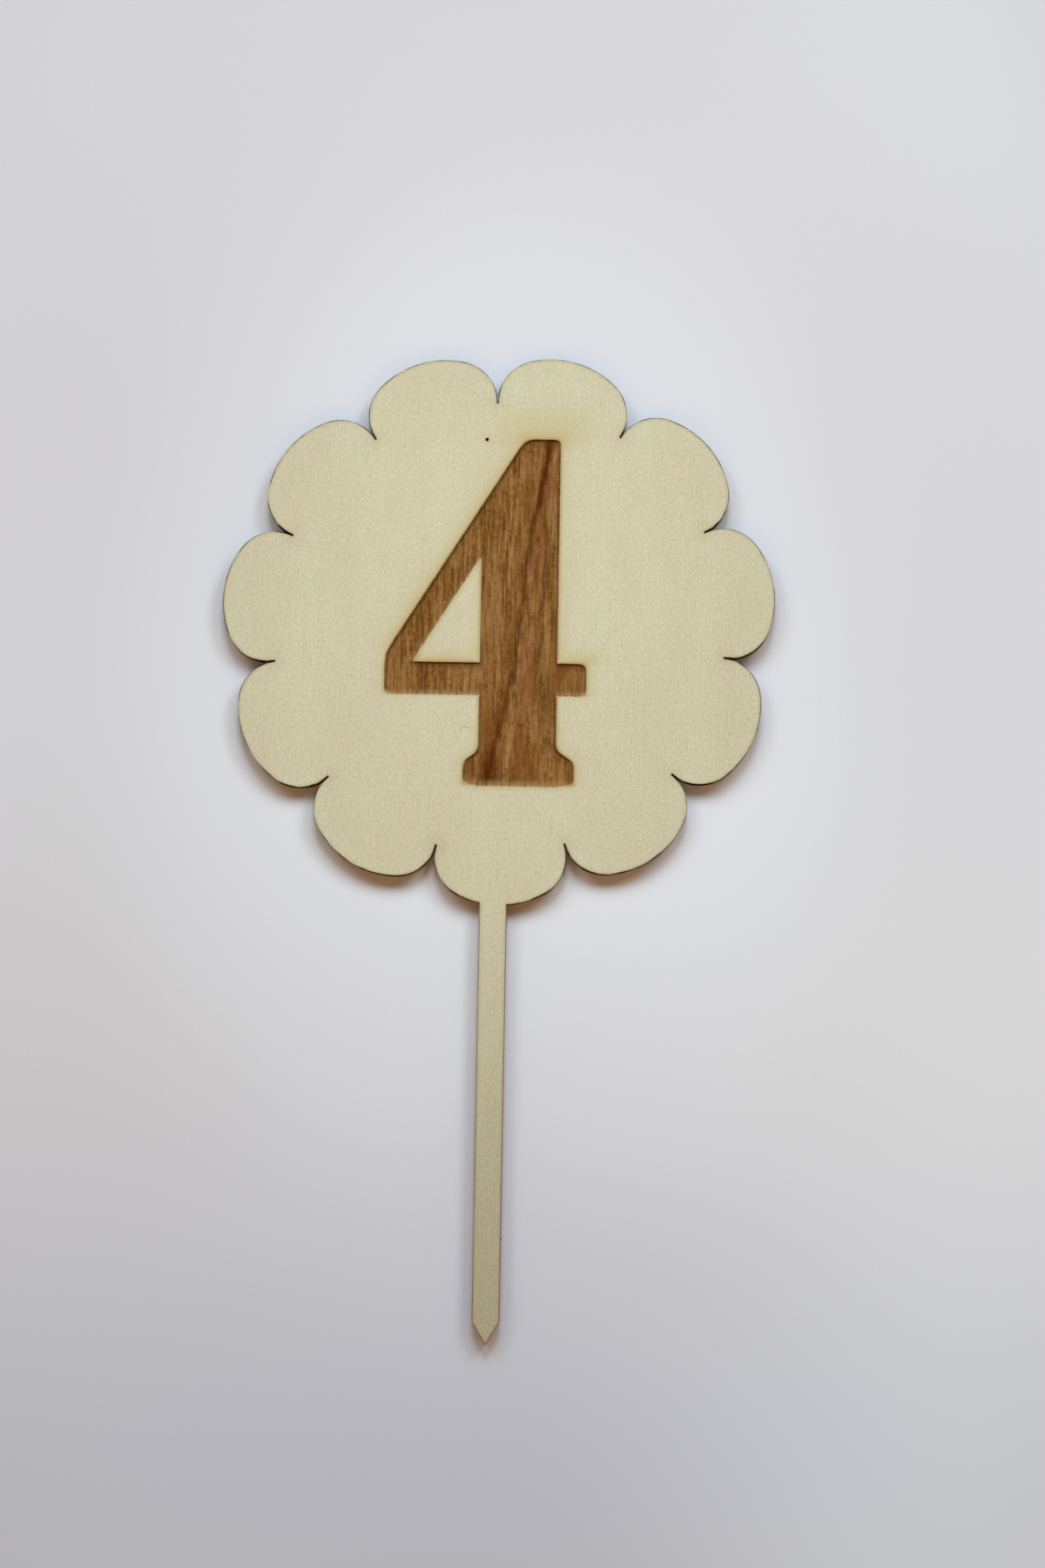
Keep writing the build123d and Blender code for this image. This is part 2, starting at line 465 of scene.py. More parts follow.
# %% Distance from the numeral
def along_limb(u, v):
    """How far a point lies outside the sloping limb's upper side, and how far up it from the heel."""
    right = u - HEEL
    up = v - HEEL_TOP
    return up * cos(limb_slope) - right * sin(limb_slope), up * sin(limb_slope) + right * cos(limb_slope)


def from_numeral(u, v):
    """How far a point lies outside the 4; negative inside it."""
    off_limb, _ = along_limb(u, v)
    upper = highest(off_limb, v - NUMERAL_HEIGHT, u - STEM_HALF, HEEL - u, BAR_LOW - v, soften=CORNER)
    bar = highest(u - BAR_END, HEEL - u, v - BAR_HIGH, BAR_LOW - v, soften=CORNER)
    stem = highest(abs(u) - STEM_HALF, -v, v - BAR_HIGH)
    left_slope = (v - FOOT_END_HEIGHT - (u - FOOT_LEFT) * tan(FOOT_SLOPE)) * cos(FOOT_SLOPE)
    right_slope = (v - FOOT_END_HEIGHT - (FOOT_RIGHT - u) * tan(FOOT_SLOPE)) * cos(FOOT_SLOPE)
    foot = highest(u - FOOT_RIGHT, FOOT_LEFT - u, -v, left_slope, right_slope, soften=CORNER)
    counter = highest(u + STEM_HALF, BAR_HIGH - v, off_limb + LIMB_THICKNESS)
    return highest(lowest(upper, bar, lowest(stem, foot, soften=CORNER)), -counter)


print("its limb slopes by", round(degrees(limb_slope), 1), "degrees")

# %% [markdown]
# ## Bare veneer
# The faces are thin pale veneer, peeled so that its grain runs up the topper. Sanded and left bare, it shows
# fine flecks, upright streaks, soft clouds and a slow change between a yellower and a pinker cream. One noise
# can't be fine and slow at once, so each of these is a noise of its own, stretched along Z where it follows
# the grain. The flecks also lift the surface. Towards the pick's tip the veneer is a little darker: painted
# shade.

# %% Start a finish
WALL_FACING = (0.7, 0.3)  # how far a normal points along Y, from a face to a wall


def new_finish(name):
    """A material with its shader, and what every pattern on the topper starts from."""
    material = bpy.data.materials.new(name)
    material.use_nodes = True
    start = Wire(material.node_tree)
    place = places(start)
    x = start.node("ShaderNodeSeparateXYZ", None, {0: place}, out="X")
    normal = start.node("ShaderNodeNewGeometry", out="True Normal")
    facing = start.node("ShaderNodeSeparateXYZ", None, {0: normal}, out="Y")
    shader = material.node_tree.nodes["Principled BSDF"]
    shader.inputs["Specular IOR Level"].default_value = 0.0
    wall = fade(abs(facing), *WALL_FACING)
    return SimpleNamespace(
        material=material, shader=shader, start=start, place=place, x=x, z=x.other("Z"), wall=wall
    )


def put(finish, socket, value):
    """Links a wire to a socket of the finish's shader."""
    finish.start.tree.links.new(value.socket, finish.shader.inputs[socket])


def lift(finish, height, depth):
    """Raises the surface by a height from 0 to 1 times a depth in mm."""
    sockets = {"Height": height, "Distance": depth * MM, "Strength": 1.0}
    put(finish, "Normal", finish.start.node("ShaderNodeBump", None, sockets))


print("a wall is where the normal points along Y by less than", WALL_FACING[1])

# %% The veneer's colour
YELLOW_CREAM = seen(210, 205, 172)
PINK_CREAM = seen(208, 198, 167)
TINT_RANGE = (0.38, 0.62)  # from the yellow cream to the pink one
PICK_SHADE_HEIGHTS = (0.0, -60.0)  # Z in mm
PICK_PAINTED_SHADE = 0.15


def bare_veneer(finish):
    """Colour of bare veneer with painted shade towards the pick's tip, and the flecks that also lift it."""
    place = finish.place
    drift = grain(place, (0.10, 0.02, 0.035), detail=2, shift=3.0)
    streaks = grain(place, (1.1, 0.5, 0.025), detail=3, shift=11.0)
    clouds = grain(place, (0.5, 0.3, 0.35), detail=2, shift=19.0)
    flecks = grain(place, (2.5, 2.0, 1.8), detail=1, shift=23.0)
    fibre_lines = grain(place, (3.4, 2.0, 0.25), detail=2, shift=29.0)
    tint = fade(drift * 0.45 + streaks * 0.3 + clouds * 0.25, *TINT_RANGE)
    tone = 1 + swing(streaks, 0.14) + swing(clouds, 0.12) + swing(flecks, 0.42) + swing(fibre_lines, 0.16)
    # Painted shade: the veneer darkens towards the pick's tip.
    tone = tone - fade(finish.z, *PICK_SHADE_HEIGHTS) * PICK_PAINTED_SHADE
    return brighten(blend(tint, YELLOW_CREAM, PINK_CREAM), tone), flecks


print("creams to a shader:", [[round(part, 2) for part in cream[:3]] for cream in (YELLOW_CREAM, PINK_CREAM)])

# %% [markdown]
# ## The charred cut
# A laser cuts wood by burning it, so the walls of the cut are toasted brown with fine ridges straight
# through the sheet. They are darkest in the notches between the lobes: partly char where the beam slowed
# down, partly painted shade in the deep, narrow slit. On the pick they are paler, as painted light. On the
# faces the heat leaves a thin dark rim of uneven strength. In the notches it is wider and darker, again char
# and painted shade; along the pick it is paler and redder, and on its point oranger, as painted light. A
# separate material for the walls would need its own faces, so one material does both and tells the walls from
# the faces by the way that they face.

# %% Walls of the cut
CHAR = seen(34, 22, 14)
TOAST = seen(126, 80, 46)
WALL_TOAST = 0.3  # from char at 0 to toast at 1
PICK_WALL_PAINTED_LIGHT = 0.45  # painted light: how much paler the pick's walls are
PICK_WALL = (1.0, -3.0)  # Z in mm
NOTCH_CHAR_AND_SHADE = 0.8  # how much darker the notches are: partly char, partly painted shade
NOTCH_WALL = (9.0, 1.0)  # mm from a notch's end


def charred_wall(finish, cut, paleness=0.0):
    """Colour of the cut wall, with painted shade in notches and painted light on the pick, and its ridges."""
    ridges = grain(finish.place, (2.6, 0.08, 2.6), detail=3, shift=5.0)
    patches = grain(finish.place, (0.22, 0.3, 0.22), detail=2, shift=9.0)
    toast = WALL_TOAST + paleness + swing(ridges, 1.3) + swing(patches, 1.2)
    # Painted light pales the pick's walls; char and painted shade darken the notches.
    toast = toast + fade(finish.z, *PICK_WALL) * PICK_WALL_PAINTED_LIGHT - fade(cut.notch, *NOTCH_WALL) * NOTCH_CHAR_AND_SHADE
    return blend(toast, CHAR, TOAST), ridges


print("char to a shader:", [round(part, 3) for part in CHAR[:3]])

# %% Rim of the cut
RIM = seen(66, 46, 32)
PICK_RIM_PAINTED_LIGHT = seen(112, 74, 54)
TIP_RIM_PAINTED_LIGHT = seen(134, 84, 48)
RIM_GLOW = seen(186, 164, 122)
RIM_WIDTH = (0.26, 0.04)  # mm from the cut
GLOW_WIDTH = (0.9, 0.0)  # mm from the cut
NOTCH_RIM = (4.0, 0.3)  # mm from a notch's end
NOTCH_GLOW = (3.2, 0.4)  # mm from a notch's end
NOTCH_EXTRA = 0.06  # mm that the rim is wider in a notch, partly char and partly painted shade
TIP_EXTRA = 0.1  # mm that it is wider on the point, with painted light


def charred_rim(finish, cut, colour):
    """The face's colour with the rim of the cut burned into it, and painted shade and light on it."""
    unevenness = grain(finish.place, (0.35, 0.2, 0.35), detail=4, shift=31.0)
    in_notch = fade(cut.notch, *NOTCH_RIM)
    on_pick = fade(finish.z, 1.0, -1.0)
    on_tip = fade(finish.z, TIP_START, TIP_START - 1.0)
    glow = fade(cut.edge, *GLOW_WIDTH) * (0.2 + 0.3 * unevenness) + fade(cut.notch, *NOTCH_GLOW) * 0.2
    strength = choose(on_pick, 0.5 + 0.5 * unevenness, 0.25 + fade(unevenness, 0.3, 0.7))
    distance = cut.edge - in_notch * NOTCH_EXTRA - on_tip * TIP_EXTRA
    rim = fade(distance, *RIM_WIDTH) * highest(strength, in_notch)
    # Painted light on the rim of the pick and its point; char and painted shade in the notches.
    rim_colour = blend(in_notch, blend(on_tip, blend(on_pick, RIM, PICK_RIM_PAINTED_LIGHT), TIP_RIM_PAINTED_LIGHT), CHAR)
    return blend(rim, blend(glow, colour, RIM_GLOW), rim_colour)


print("the rim is dark for", RIM_WIDTH[0], "mm and toasted for", GLOW_WIDTH[0], "mm")

# %% [markdown]
# ## The engraved floor
# To engrave, the beam sweeps from side to side and burns a shallow layer away. It browns the wood and brings
# out the grain that bare veneer hides: upright fibres, short dark pores, and one dark growth ring that
# crosses the stem at a slant, with redder and more cross-hatched wood to its right. A ready-made wood
# texture has no single ring in the right place, so the ring is a line, and the redder and hatched wood go by
# their distance from it.

# %% The ring across the stem
RING_FOOT = -5.5  # mm from the stem's middle, at the underside of the foot
RING_LEAN = 0.161  # mm to the right for each mm up
RING_SWAY = 0.6  # mm, half of how far it sways to the right
SWAY_HEIGHT = 44.0  # mm above the foot's underside, where it has swayed back
RING_BEND = 0.6  # mm more to the right at the top
RING_WANDER = 1.2  # mm


def ring_offset(place, u, v):
    """How far a point lies to the right of the dark growth ring."""
    phase = lowest(v, SWAY_HEIGHT) * (2 * pi / SWAY_HEIGHT)
    sway = (1 - phase.math("COSINE", phase)) * RING_SWAY
    bend = fade(v, SWAY_HEIGHT, NUMERAL_HEIGHT) * RING_BEND
    wander = swing(grain(place, (0.1, 0.1, 0.4), detail=2, shift=17.0), RING_WANDER)
    return u - (RING_FOOT + RING_LEAN * v + sway + bend + wander)


ring_top = RING_FOOT + RING_LEAN * NUMERAL_HEIGHT + RING_BEND
print("the ring climbs from", RING_FOOT, "to", round(ring_top, 1), "mm beside the stem's middle")

# %% Its brown fibres
DARK_FIBRE = seen(88, 52, 19)
BROWN_FIBRE = seen(130, 89, 42)
PALE_FIBRE = seen(164, 125, 75)
RED_FIBRE = seen(122, 73, 32)


def floor_grain(place):
    """The noises that the floor is made of."""
    return SimpleNamespace(
        fine=grain(place, (2.6, 0.5, 0.2), detail=3, shift=41.0),
        broad=grain(place, (0.9, 0.5, 0.09), detail=3, shift=43.0),
        clouds=grain(place, (0.35, 0.2, 0.12), detail=2, shift=45.0),
        mottle=grain(place, (2.2, 0.5, 1.6), detail=2, shift=49.0),
    )


def brown_fibres(place, wood, past_ring):
    """Dark, brown and pale fibres, redder to the right of the ring."""
    tone = wood.fine * 0.48 + wood.broad * 0.27 + wood.clouds * 0.17 + wood.mottle * 0.28 - 0.1
    colour = blend(fade(tone, 0.3, 0.56), DARK_FIBRE, BROWN_FIBRE)
    colour = blend(fade(tone, 0.44, 0.7), colour, PALE_FIBRE)
    redness = fade(grain(place, (0.5, 0.3, 0.06), detail=2, shift=51.0), 0.4, 0.6)
    return blend(redness * (0.2 + 0.4 * past_ring), colour, RED_FIBRE)


print("brown to a shader:", [round(part, 2) for part in BROWN_FIBRE[:3]])

# %% Its cross-hatched wood
HATCH = seen(186, 142, 104)
HATCH_STRENGTH = 0.7
HATCH_ENDS = (5.0, 2.0)  # mm to the right of the ring
HATCH_STARTS = (2.0, 14.0)  # mm above the foot's underside
SWEEP_PITCH = 0.41  # mm from one sweep of the beam to the next
RAY_PITCH = 0.37  # mm between the wood's rays


def sweep_rows(v, wood):
    """Rows that the beam's sweeps left, from 0 to 1, pushed about by the grain."""
    return wave(v * (2 * pi / SWEEP_PITCH) + wood.clouds * 12 + wood.mottle * 7)


def cross_hatch(place, u, v, wood, right, rows):
    """How much pale cross-hatched wood shows to the right of the ring."""
    columns = wave(u * (2 * pi / RAY_PITCH) + wood.broad * 12 + wood.mottle * 7)
    threads = fade(grain(place, (1.6, 0.5, 0.3), detail=3, shift=47.0), 0.42, 0.66)
    area = fade(right, *HATCH_ENDS) * fade(v, *HATCH_STARTS)
    return area * threads * (0.3 + 0.7 * rows * columns) * HATCH_STRENGTH


print("the stem is", round(2 * STEM_HALF / RAY_PITCH), "rays wide")

# %% Its dark ring
RING_BROWN = seen(82, 36, 5)
DASH_REACH = 2.0  # mm
NEAR_TOP = (42.0, 52.0)  # mm above the foot's underside
NEAR_FOOT = (14.0, 4.0)  # mm above the foot's underside


def dark_ring(place, v, right):
    """How dark the ring is. It breaks up into upright dashes, since it crosses the fibres at a slant."""
    dashes = grain(place, (2.4, 0.5, 0.13), detail=2, shift=59.0)
    across = right + swing(dashes, DASH_REACH)
    near_top = fade(v, *NEAR_TOP)
    near_foot = fade(v, *NEAR_FOOT)
    line = fade(across, -0.9, -0.1) * fade(across * (1 - 0.3 * near_top), 0.9, 0.1)
    shade = fade(across, -3.0, -0.4) * fade(across, 0.4, -0.4) * (0.2 + 0.2 * near_foot)
    return highest(line * (0.65 + 0.25 * highest(near_top, near_foot)), shade)


print("ring to a shader:", [round(part, 3) for part in RING_BROWN[:3]])

# %% Its patches and pores
PATCHES = [  # middle and reach in mm, colour and strength
    ((-8.1, 19.0), (2.0, 5.0), PALE_FIBRE, 0.6),
    ((-4.5, 31.0), (3.0, 10.0), PALE_FIBRE, 0.5),
    ((-6.5, 30.5), (1.5, 7.5), PALE_FIBRE, 0.75),
    ((-5.1, 11.0), (2.2, 7.0), RED_FIBRE, 0.8),
    ((9.6, 19.2), (2.8, 3.2), PALE_FIBRE, 0.4),
    ((5.2, 15.0), (2.0, 6.0), RING_BROWN, 0.4),
    ((-4.7, 2.5), (2.6, 7.5), RING_BROWN, 0.85),
    ((-3.0, 47.6), (0.4, 2.6), RING_BROWN, 0.8),
    ((-1.8, 44.8), (0.4, 2.4), RING_BROWN, 0.7),
    ((-2.4, 41.8), (0.4, 2.6), RING_BROWN, 0.9),
    ((3.2, 44.7), (0.5, 0.5), RING_BROWN, 0.9),
    ((0.4, 11.0), (0.9, 0.4), RING_BROWN, 0.9),
]


def with_patches(u, v, wood, colour):
    """The floor's colour with paler, redder and darker places in it, which the fine fibres break up."""
    fibrous = 0.4 + 0.6 * fade(wood.fine, 0.35, 0.6)
    for (middle_u, middle_v), (reach_u, reach_v), tint, strength in PATCHES:
        away = span((u - middle_u) * (1 / reach_u), (v - middle_v) * (1 / reach_v))
        colour = blend(fade(away, 1.0, 0.1) * fibrous * strength, colour, tint)
    return colour


print(len(PATCHES), "patches and pores")

# %% The whole floor
ROW_CONTRAST = 0.12  # of the beam's rows
RING_CONTRAST = 0.1  # more of it to the right of the ring


def burned_floor(finish, u, v):
    """Colour of the engraved floor, and the fibres that also lift it."""
    place = finish.place
    wood = floor_grain(place)
    right = ring_offset(place, u, v)
    past_ring = fade(right, -0.2, 0.8)
    rows = sweep_rows(v, wood)
    colour = brown_fibres(place, wood, past_ring)
    colour = blend(past_ring * cross_hatch(place, u, v, wood, right, rows), colour, HATCH)
    colour = blend(dark_ring(place, v, right), colour, RING_BROWN)
    colour = with_patches(u, v, wood, colour)
    contrast = ROW_CONTRAST + RING_CONTRAST * past_ring
    return brighten(colour, 1 + swing(rows, contrast)), wood.fine


print("the 4 took", round(NUMERAL_HEIGHT / SWEEP_PITCH), "sweeps of the beam")

# %% [markdown]
# ## Edges and smoke of the engraving
# The cutter's fan draws heat and smoke to one side, here towards the top. So the upper edges of the 4 are
# burned darkest, and a yellow halo lies above its top, its bar and its sloping limb. The lower edges stay
# clean and fade out in short bristles along the grain. A plain glow round the numeral would be the same on
# all sides, so each edge gets a mask of its own from the numeral's sizes.

# %% Burned and feathered edges
BAR_BURN = (1.8, 0.2)  # mm below the bar's upper edge
TOP_BURN = (2.0, 0.2)  # mm below the top
BAR_FEATHER = (1.3, -0.1)  # mm above the bar's lower edge
FOOT_FEATHER = (1.5, -0.1)  # mm above the foot's lower edge
LIMB_FEATHER = (1.4, -0.1)  # mm above the limb's lower edge
FOOT_DRAWN_IN = 0.25  # mm that the brown stops short of the foot's lower edge
LIMB_DRAWN_IN = 0.36  # mm that it stops short of the limb's lower edge
LIMB_DRAWN_OUT = 0.17  # mm that it goes past the limb's upper edge


def edge_marks(place, u, v):
    """Where the floor is burned below its upper edges, feathered above its lower ones, and drawn in."""
    off_limb, _ = along_limb(u, v)
    arms = fade(abs(u), STEM_HALF - 0.3, STEM_HALF + 0.3)
    past_heel = fade(u, counter_toe - 1, counter_toe + 1)
    bar_top = fade(BAR_HIGH - v, *BAR_BURN) * fade(v, BAR_HIGH + 0.4, BAR_HIGH) * arms * past_heel
    stem_top = fade(NUMERAL_HEIGHT - v, *TOP_BURN)

    bar_base = fade(v - BAR_LOW, *BAR_FEATHER) * fade(v, BAR_LOW - 0.6, BAR_LOW - 0.3) * arms
    foot_base = fade(v, *FOOT_FEATHER)
    by_counter = fade(u, -STEM_HALF + 0.1, -STEM_HALF - 0.6) * fade(v, BAR_HIGH - 0.1, BAR_HIGH + 0.6)
    limb_base = fade(off_limb + LIMB_THICKNESS, *LIMB_FEATHER) * by_counter
    limb_span = fade(u, HEEL - 0.5, HEEL + 1.0) * fade(u, TOP_LEFT + 0.5, TOP_LEFT - 1.5)
    limb_top = fade(abs(off_limb), 1.2, 0.6) * limb_span
    return SimpleNamespace(
        burned=highest(bar_top, stem_top),
        feathered=highest(bar_base, foot_base, limb_base * 0.75),
        drawn_in=foot_base * FOOT_DRAWN_IN + limb_base * LIMB_DRAWN_IN - limb_top * LIMB_DRAWN_OUT,
        bristles=grain(place, (3.6, 0.5, 0.1), detail=2, shift=67.0),
    )


print("bristles reach up to", FOOT_FEATHER[0], "mm into the foot")

# %% Clean and smoked places
HALO_REACH = 2.8  # mm
TOP_REACH = 9.0  # mm
BAR_REACH = 6.0  # mm
LIMB_REACH = 7.0  # mm
LIMB_SOOT = (2.0, 0.3)  # mm from the limb
LIMB_START = (-1.0, 4.0)  # mm up the limb
LIMB_END = (48.0, 40.0)  # mm up the limb
CLEAN_GAP = 0.6  # mm below the limb, to the middle of the clean strip
CLEAN_WIDTH = (1.4, 0.8)  # mm to each side of that middle


def clean_places(u, v):
    """Where the face lies right below the foot, the bar's arms or the limb, and smoke hardly reached it."""
    off_limb, _ = along_limb(u, v)
    beside_stem = fade(abs(u), STEM_HALF, STEM_HALF + 1.0)
    below_foot = fade(v, 0.2, -0.2)
    below_bar = beside_stem * fade(v, BAR_LOW + 0.2, BAR_LOW - 0.2) * fade(v, 10.0, 13.0)
    in_counter = fade(v, BAR_HIGH + 0.5, BAR_HIGH + 2.0) * fade(u, -STEM_HALF - 0.2, -STEM_HALF - 1.5)
    below_limb = fade(abs(off_limb + LIMB_THICKNESS + CLEAN_GAP), *CLEAN_WIDTH) * in_counter
    return highest(below_foot, below_bar, below_limb)


def smoked_places(place, u, v, outside, clean):
    """How much smoke lies on the face, a little all round the 4 and more above it."""
    off_limb, up_limb = along_limb(u, v)
    unevenness = grain(place, (0.12, 0.1, 0.10), detail=2, shift=71.0)
    all_round = fade(outside, HALO_REACH, 0.0) * (0.2 + 0.5 * unevenness) * (1 - 0.8 * clean)
    over_top = fade(v, NUMERAL_HEIGHT - 3.0, NUMERAL_HEIGHT + 1.0) * fade(outside, TOP_REACH, 0.0)
    on_arms = fade(abs(u), STEM_HALF, STEM_HALF + 1.0) * fade(u, counter_toe - 1, counter_toe + 1)
    above_bar = fade(v, BAR_HIGH + BAR_REACH, BAR_HIGH) * fade(v, BAR_HIGH - 0.4, BAR_HIGH)
    over_bar = on_arms * above_bar * fade(outside, BAR_REACH, 0.0)
    over_limb = fade(off_limb, -0.5, 0.2) * fade(up_limb, *LIMB_START) * fade(up_limb, *LIMB_END)
    soot = fade(outside, *LIMB_SOOT) * 0.25 + fade(outside, LIMB_REACH, 0.0) * 0.27
    return all_round + over_top * 0.6 + over_bar * 0.4 + over_limb * soot


print("smoke reaches", TOP_REACH, "mm above the top and", HALO_REACH, "mm where there is least of it")

# %% [markdown]
# ## The front face
# All the marks come together here, from the wood outwards: bare veneer, then smoke, then the rim of the cut,
# then the engraving, and last the walls. Each is blended over the one before by its own mask. Several
# materials on separate faces would end in hard borders, and burned wood has none.

# %% Face of the front
SMOKE = seen(199, 182, 133)
SCORCH = seen(176, 142, 88)
SCORCH_REACH = 0.75  # mm
BURN_SPOT = (-2.55, 84.05)  # X and Z in mm of the small burn beside the top
SPOT_HALO = (1.3, 0.2)  # mm from its middle

front = new_finish("front_veneer")
front_cut = from_cut(front.x, front.z)
u = front.x - NUMERAL_FOOT[0]
v = front.z - NUMERAL_FOOT[1]
outside = from_numeral(u, v)
clean = clean_places(u, v)
spot = span(front.x - BURN_SPOT[0], front.z - BURN_SPOT[1])

veneer, flecks = bare_veneer(front)
face = blend(smoked_places(front.place, u, v, outside, clean), veneer, SMOKE)
face = blend(fade(outside, SCORCH_REACH, 0.0) * (0.6 - 0.35 * clean), face, SCORCH)
face = blend(fade(spot, *SPOT_HALO) * 0.5, face, SMOKE)
face = charred_rim(front, front_cut, face)
print("the face takes", len(front.material.node_tree.nodes), "nodes")

# %% Engraving of the front
EDGE_BURN = seen(88, 52, 18)
FEATHERED = seen(178, 146, 100)
BURN = seen(24, 15, 10)
RIM_BURN = (-0.9, 0.1)  # mm outside the outline
SPARED_MIDDLE = 0.5 - STEM_HALF  # mm from the stem's middle, where its side by the counter is hardly burned
SPARED_WIDTH = (2.0, 1.2)  # mm to each side of that middle
SPARED_START = (BAR_HIGH + 2.0, BAR_HIGH + 5.0)  # mm
SPARED_END = (41.0, 37.0)  # mm
BRISTLE_REACH = 0.5  # mm
RAGGED_REACH = 0.2  # mm
EDGE_SOFTNESS = (0.2, -0.2)  # mm outside the ragged outline
SPOT_EDGE = (0.42, 0.22)  # mm from the small burn's middle

floor, fibres = burned_floor(front, u, v)
marks = edge_marks(front.place, u, v)
spared = fade(abs(u - SPARED_MIDDLE), *SPARED_WIDTH) * fade(v, *SPARED_START) * fade(v, *SPARED_END)
rim_burn = fade(outside, *RIM_BURN) * (1 - marks.feathered) * (0.45 - 0.35 * spared)
floor = blend(highest(marks.burned * 0.5, rim_burn), floor, EDGE_BURN)
floor = blend(marks.feathered * (0.3 + 0.7 * fade(marks.bristles, 0.3, 0.6)) * 0.75, floor, FEATHERED)
sweep_ends = grain(front.place, (0.3, 0.2, 3.0), detail=1, shift=73.0)
bristled = marks.feathered * (marks.bristles - 0.42) * BRISTLE_REACH
ragged = outside + swing(sweep_ends, RAGGED_REACH) + bristled + marks.drawn_in
engraved = fade(ragged, *EDGE_SOFTNESS)
face = blend(engraved, face, floor)
face = blend(fade(spot, *SPOT_EDGE), face, BURN)
print("with the engraving it takes", len(front.material.node_tree.nodes), "nodes")

# %% Finish of the front
FACE_ROUGHNESS = 0.62
BURNED_ROUGHNESS = 0.18  # how much rougher burned wood is
FLECK_HEIGHT = 0.25  # of the flecks, where the fibres of burned wood have 1
GRAIN_DEPTH = 0.06  # mm
OUTLINE_WALL = (0.6, 0.3)  # mm from the cut, so that the recess's walls are left out

wall_colour, _ = charred_wall(front, front_cut)
on_outline = front.wall * fade(front_cut.edge, *OUTLINE_WALL)
put(front, "Base Color", blend(on_outline, face, wall_colour))
put(front, "Roughness", FACE_ROUGHNESS + BURNED_ROUGHNESS * highest(engraved, on_outline))
lift(front, choose(engraved, fibres, flecks * FLECK_HEIGHT), GRAIN_DEPTH)
print("front finish has", len(front.material.node_tree.nodes), "nodes")

# %% [markdown]
# ## The back face, the core and the glue
# The back is the same veneer with only the rim of the cut on it. The core's grain lies across, so its wall
# shows end grain on the pick's sides and long grain under the lobes: a noise stretched along X gives both by
# itself. The glue lines are films of hardened adhesive, which the beam burned almost black. Core and glue
# show only their walls, so their finishes have no face.

# %% Finish of the back
back = new_finish("back_veneer")
back_cut = from_cut(back.x, back.z)
veneer, flecks = bare_veneer(back)
wall_colour, ridges = charred_wall(back, back_cut)
put(back, "Base Color", blend(back.wall, charred_rim(back, back_cut, veneer), wall_colour))
put(back, "Roughness", FACE_ROUGHNESS + BURNED_ROUGHNESS * back.wall)
lift(back, choose(back.wall, ridges, flecks * FLECK_HEIGHT), GRAIN_DEPTH)
print("back finish has", len(back.material.node_tree.nodes), "nodes")

# %% Finish of the core
CORE_PALENESS = -0.12
CORE_DEPTH = 0.08  # mm

core = new_finish("core_veneer")
core_cut = from_cut(core.x, core.z)
wall_colour, ridges = charred_wall(core, core_cut, paleness=CORE_PALENESS)
end_grain = grain(core.place, (0.12, 5.0, 5.0), detail=3, shift=79.0)
put(core, "Base Color", brighten(wall_colour, 0.45 + 1.1 * end_grain))
put(core, "Roughness", 0.7 + 0.2 * ridges)
lift(core, ridges * 0.6 + end_grain * 0.4, CORE_DEPTH)
print("core finish has", len(core.material.node_tree.nodes), "nodes")

# %% Finish of the glue lines
GLUE = seen(36, 26, 19)
GLUE_AMBER = seen(70, 46, 26)
GLUE_DEPTH = 0.05  # mm

glue = new_finish("burned_glue")
beads = grain(glue.place, (1.6, 0.4, 1.6), detail=3, shift=83.0)
put(glue, "Base Color", blend(fade(beads, 0.4, 0.8), GLUE, GLUE_AMBER))
put(glue, "Roughness", 0.4 + 0.35 * beads)
lift(glue, beads, GLUE_DEPTH)
print("glue finish has", len(glue.material.node_tree.nodes), "nodes")

# %% Dress the solids
finishes = {
    "front_face_ply": front,
    "front_glue_line": glue,
    "core_ply": core,
    "back_glue_line": glue,
    "back_face_ply": back,
}
for node, finish in finishes.items():
    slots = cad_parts[node].data.materials
    slots.clear()
    slots.append(finish.material)
    print(node, "takes", finish.material.name)

# %% [markdown]
# ## Loose fibres
# Sanding and cutting leave a few fibres standing on the wood: two pale ones below the bar's left arm, a
# fleck in the bar and one in the limb, a short one below the foot, a faint one on the left of the face, and
# a dark splinter on the pick's right edge. They could be drawn in the finish, but a real fibre has thickness
# and throws a small shadow, so each is a thin spindle, pressed a little into the wood.

# %% Shape of a fibre
FIBRE_STEPS = 12
FIBRE_SIDES = 8
FIBRE_RISE = 0.3  # middle above the wood, as a share of the fibre's half width
FIBRE_BOW = 0.4  # sideways, as a share of its width
FIBRE_FULLNESS = 0.6  # a smaller power of the swell makes a blunter spindle
FIBRE_TIP = 0.05  # width of its ends, as a share of its width
OUTWARD = Vector((0, -1, 0))


def fibre_rings(start, along, width):
    """Corners of the rings that a spindle is made of, from its start to its end."""
    across = along.cross(OUTWARD).normalized()
    turns = [2 * pi * side / FIBRE_SIDES for side in range(FIBRE_SIDES)]
    for step in range(FIBRE_STEPS + 1):
        part = step / FIBRE_STEPS
        swell = sin(pi * part)
        half_width = max(swell**FIBRE_FULLNESS, FIBRE_TIP) * width / 2
        sideways = across * swell * width * FIBRE_BOW
        middle = start + along * part + sideways + OUTWARD * half_width * FIBRE_RISE
        yield [middle + (across * cos(turn) + OUTWARD * sin(turn)) * half_width for turn in turns]


print("a fibre has", (FIBRE_STEPS + 1) * FIBRE_SIDES, "corners")


